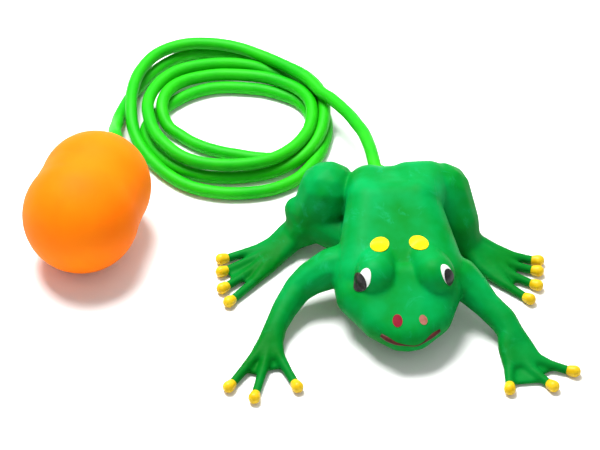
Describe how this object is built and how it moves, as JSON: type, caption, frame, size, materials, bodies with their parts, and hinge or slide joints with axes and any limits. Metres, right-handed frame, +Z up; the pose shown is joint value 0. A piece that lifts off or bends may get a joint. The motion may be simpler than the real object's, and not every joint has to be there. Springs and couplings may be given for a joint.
{
  "type": "air-powered jumping frog toy",
  "caption": "Soft moulded frog standing on a folded air bladder, joined by a coiled air tube to an oval squeeze bulb; squeezing the bulb unfolds the bladder and the frog hops",
  "frame": {"origin": "middle of the sole of the folded bladder, on the floor that the frog stands on", "axes": "+Z up; the frog faces -Y, with its left leg nodes at -X as seen from the front; the coil and the bulb lie behind it, toward -X and +Y"},
  "size_m": [0.1808, 0.1817, 0.0392],
  "materials": {
    "frog_green": "satin soft vinyl",
    "belly_green": "satin soft vinyl",
    "toe_yellow": "satin dip paint",
    "tube_green": "satin soft tube",
    "fitting_ivory": "moulded",
    "bladder_green": "dull rubber",
    "sole_grey": "dull rubber",
    "bulb_orange": "matte soft rubber"
  },
  "bodies": {
    "air_line": {"tube_lead_frog": "tube_green", "tube_coil": "tube_green", "tube_lead_bulb": "tube_green", "bulb_neck": "bulb_orange", "bulb_barb": "fitting_ivory"},
    "bulb_thumb": {"bulb_thumb_half": "bulb_orange"},
    "bulb_fingers": {"bulb_finger_half": "bulb_orange"},
    "frog": {"body_skin": "frog_green", "belly_plate": "belly_green", "front_leg_left": "frog_green", "front_leg_right": "frog_green", "hind_leg_left": "frog_green", "hind_leg_right": "frog_green", "toe_tips_front_left": "toe_yellow", "toe_tips_front_right": "toe_yellow", "toe_tips_hind_left": "toe_yellow", "toe_tips_hind_right": "toe_yellow", "rump_grommet": "tube_green", "inner_tube": "tube_green", "air_port": "fitting_ivory", "kicker_upper_leaf": "bladder_green"},
    "kicker": {"kicker_lower_leaf": "bladder_green", "kicker_sole": "sole_grey"}
  },
  "joints": [
    {"name": "bulb_squeeze", "type": "slide", "parent": "air_line", "child": "bulb_thumb", "axis": [0, 0, -1], "range_m": [0, 0.007], "stiffness_N_per_m": 300, "springref_m": -0.001, "deforming": ["bulb_thumb_half"]},
    {"name": "bulb_squeeze_fingers", "type": "slide", "parent": "air_line", "child": "bulb_fingers", "axis": [0, 0, 1], "range_m": [0, 0.007], "stiffness_N_per_m": 300, "springref_m": -0.001, "deforming": ["bulb_finger_half"]},
    {"name": "frog_hop", "type": "slide", "parent": "air_line", "child": "frog", "axis": [0, 0, 1], "range_m": [0, 0.0162], "deforming": ["tube_lead_frog"]},
    {"name": "kicker_unfold", "type": "hinge", "parent": "frog", "child": "kicker", "pos_m": [0, -0.0135, 0.0027], "axis": [-1, 0, 0], "range_deg": [0, 37]}
  ],
  "couplings": [
    {"joint": "bulb_squeeze_fingers", "follows": "bulb_squeeze", "ratio": 1},
    {"joint": "frog_hop", "follows": "bulb_squeeze", "ratio": 2.3},
    {"joint": "kicker_unfold", "follows": "bulb_squeeze", "rad_per_m": 89.5}
  ]
}
